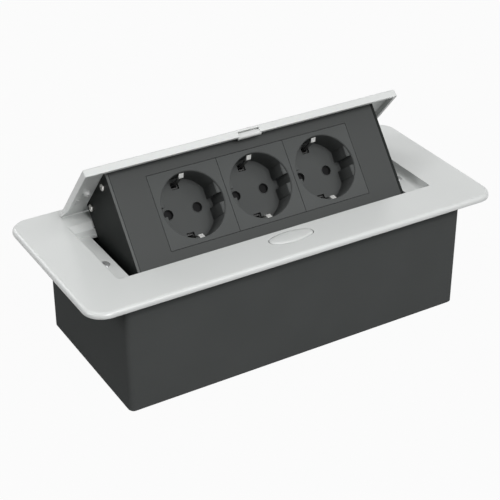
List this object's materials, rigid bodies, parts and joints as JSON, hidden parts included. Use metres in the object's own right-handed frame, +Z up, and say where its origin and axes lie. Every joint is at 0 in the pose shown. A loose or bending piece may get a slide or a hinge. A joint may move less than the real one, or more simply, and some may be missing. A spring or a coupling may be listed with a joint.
{
  "type": "in-desk pop-up power module",
  "caption": "Desk power module: a recessed flange and steel tray with a push-release, sprung hinged block that carries a row of round earthed sockets.",
  "frame": {"origin": "centre of the flange's underside plane, which is the desk top's surface when fitted", "axes": "+X to the right along the flange's long side, +Y from the button towards the hinge, +Z up out of the desk; shown popped up as in the picture"},
  "size_m": [0.2694, 0.117, 0.1224],
  "materials": {
    "frame_paint": "light grey, satin gloss",
    "case_paint": "graphite, fine satin",
    "face_paint": "graphite, satin",
    "insert_plastic": "graphite, satin moulding",
    "base_plastic": "black moulding",
    "shutter_plastic": "dark grey moulding",
    "plated_steel": "nickel plated",
    "zinc_steel": "zinc plated sheet",
    "strike_plastic": "light grey",
    "contact_brass": "bright",
    "light_plastic": "natural grey",
    "bush_plastic": "black",
    "pad_rubber": "soft black"
  },
  "bodies": {
    "housing": {"bezel": "frame_paint", "case": "case_paint", "hinge_bracket_left": "zinc_steel", "hinge_bracket_right": "zinc_steel", "hinge_pins": "plated_steel", "case_screws": "plated_steel", "guide_screws": "plated_steel", "lift_spring_left": "plated_steel", "lift_spring_right": "plated_steel", "button_spring": "plated_steel", "latch_spring": "plated_steel", "earth_stud": "plated_steel", "latch_guide": "light_plastic", "cable_bush": "bush_plastic", "bush_nut": "bush_plastic", "lid_bumpers": "pad_rubber"},
    "socket_block": {"lid": "frame_paint", "catch_strike": "strike_plastic", "faceplate": "face_paint", "support_frame": "zinc_steel", "support_screws": "plated_steel", "side_panel_left": "case_paint", "side_panel_right": "case_paint", "panel_screws": "plated_steel", "rear_cover": "case_paint", "cover_screws": "plated_steel", "live_rail": "contact_brass", "neutral_rail": "contact_brass", "earth_rail": "contact_brass", "terminal_block": "light_plastic", "terminal_screws": "contact_brass", "socket_front_1": "insert_plastic", "socket_front_2": "insert_plastic", "socket_front_3": "insert_plastic", "socket_base_1": "base_plastic", "socket_base_2": "base_plastic", "socket_base_3": "base_plastic", "earth_clip_1": "plated_steel", "earth_clip_2": "plated_steel", "earth_clip_3": "plated_steel"},
    "release_button": {"release_button": "frame_paint"},
    "latch_bolt": {"latch_bolt": "plated_steel"},
    "shutter_1": {"shutter_1": "shutter_plastic"},
    "shutter_2": {"shutter_2": "shutter_plastic"},
    "shutter_3": {"shutter_3": "shutter_plastic"}
  },
  "joints": [
    {"name": "lid_hinge", "type": "hinge", "parent": "housing", "child": "socket_block", "pos_m": [0, 0.04151, -0.0147], "axis": [1, 0, 0], "range_deg": [0, 50.8], "stiffness_Nm_per_rad": 0.15, "springref_deg": -171.89},
    {"name": "button_press", "type": "slide", "parent": "housing", "child": "release_button", "axis": [0, 0, -1], "range_m": [0, 0.0014], "stiffness_N_per_m": 800, "springref_m": -0.0012, "deforming": ["button_spring"]},
    {"name": "latch_slide", "type": "slide", "parent": "housing", "child": "latch_bolt", "axis": [0, -1, 0], "range_m": [0, 0.0014], "stiffness_N_per_m": 300, "springref_m": -0.001, "deforming": ["latch_spring"]},
    {"name": "shutter_1_turn", "type": "hinge", "parent": "socket_block", "child": "shutter_1", "pos_m": [-0.045, -0.00598, 0.02125], "axis": [0, -0.7738, 0.6334], "range_deg": [0, 40], "stiffness_Nm_per_rad": 0.0008, "springref_deg": -28.65},
    {"name": "shutter_2_turn", "type": "hinge", "parent": "socket_block", "child": "shutter_2", "pos_m": [0, -0.00598, 0.02125], "axis": [0, -0.7738, 0.6334], "range_deg": [0, 40], "stiffness_Nm_per_rad": 0.0008, "springref_deg": -28.65},
    {"name": "shutter_3_turn", "type": "hinge", "parent": "socket_block", "child": "shutter_3", "pos_m": [0.045, -0.00598, 0.02125], "axis": [0, -0.7738, 0.6334], "range_deg": [0, 40], "stiffness_Nm_per_rad": 0.0008, "springref_deg": -28.65}
  ],
  "couplings": [
    {"joint": "latch_slide", "follows": "button_press", "ratio": 1}
  ]
}
